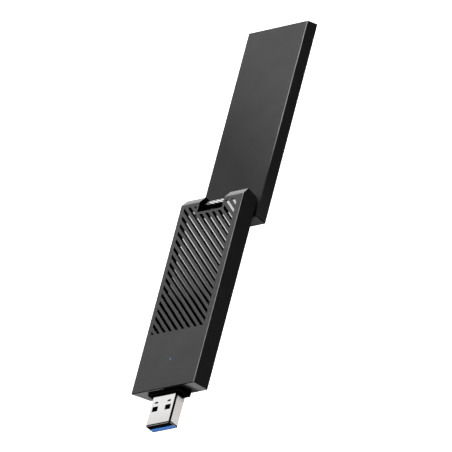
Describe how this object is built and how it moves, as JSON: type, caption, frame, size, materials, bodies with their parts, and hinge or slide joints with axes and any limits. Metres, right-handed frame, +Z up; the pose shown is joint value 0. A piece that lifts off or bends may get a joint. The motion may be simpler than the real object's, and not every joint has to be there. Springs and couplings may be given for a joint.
{
  "type": "usb wifi adapter",
  "caption": "Flat vented USB wireless adapter stick with a Type-A plug at one end and a flip-over antenna paddle hinged at the other.",
  "frame": {"origin": "under the middle of the whole straightened adapter, in the plane of the antenna paddle's outer face that it lies on", "axes": "+Y runs from the USB plug to the antenna paddle's tip, +Z is up out of the vented face, +X is across the stick"},
  "size_m": [0.0306, 0.1758, 0.0154],
  "materials": {
    "casing_plastic": "satin dark grey moulded plastic, fine spark texture",
    "black_plastic": "satin black moulded plastic",
    "plug_steel": "bright nickel-plated sheet steel",
    "hinge_steel": "plain steel",
    "sink_aluminium": "bright rolled aluminium",
    "tongue_plastic": "blue moulded plastic",
    "contact_gold": "gold-plated",
    "board_green": "solder-masked board",
    "chip_black": "moulded chip package",
    "thermal_pad": "soft silicone",
    "led_lens": "clear blue plastic",
    "foam": "closed-cell foam",
    "lead_jacket": "smooth cable jacket"
  },
  "bodies": {
    "stick": {"front_housing": "casing_plastic", "rear_cover": "casing_plastic", "plug_collar": "black_plastic", "usb_shell": "plug_steel", "usb_tongue": "tongue_plastic", "main_board": "board_green", "radio_chip": "chip_black", "usb_bridge_chip": "chip_black", "thermal_pad": "thermal_pad", "rf_shield": "plug_steel", "clock_crystal": "plug_steel", "power_inductor": "chip_black", "heat_sink": "sink_aluminium", "status_led": "led_lens", "light_pipe": "led_lens", "hinge_pin_right": "hinge_steel", "hinge_sleeve_left": "hinge_steel", "friction_washer": "hinge_steel", "coax_connector": "contact_gold", "antenna_lead_stick": "lead_jacket", "usb_contact_1": "contact_gold", "usb_contact_2": "contact_gold", "usb_contact_3": "contact_gold", "usb_contact_4": "contact_gold", "usb_contact_5": "contact_gold", "usb_contact_6": "contact_gold", "usb_contact_7": "contact_gold", "usb_contact_8": "contact_gold", "usb_contact_9": "contact_gold", "heat_sink_screw_1": "hinge_steel", "heat_sink_screw_2": "hinge_steel", "heat_sink_screw_3": "hinge_steel", "heat_sink_screw_4": "hinge_steel"},
    "antenna_paddle": {"paddle_shell": "casing_plastic", "paddle_cover": "casing_plastic", "hinge_knuckle": "black_plastic", "detent_plate": "hinge_steel", "knuckle_screw_1": "hinge_steel", "knuckle_screw_2": "hinge_steel", "antenna_board": "board_green", "antenna_foam": "foam", "antenna_low_band": "contact_gold", "antenna_high_band": "contact_gold", "antenna_lead_paddle": "lead_jacket"}
  },
  "joints": [
    {"name": "antenna_flip", "type": "hinge", "parent": "stick", "child": "antenna_paddle", "pos_m": [0, 0.00583, 0.0108], "axis": [1, 0, 0], "range_deg": [0, 180]}
  ]
}
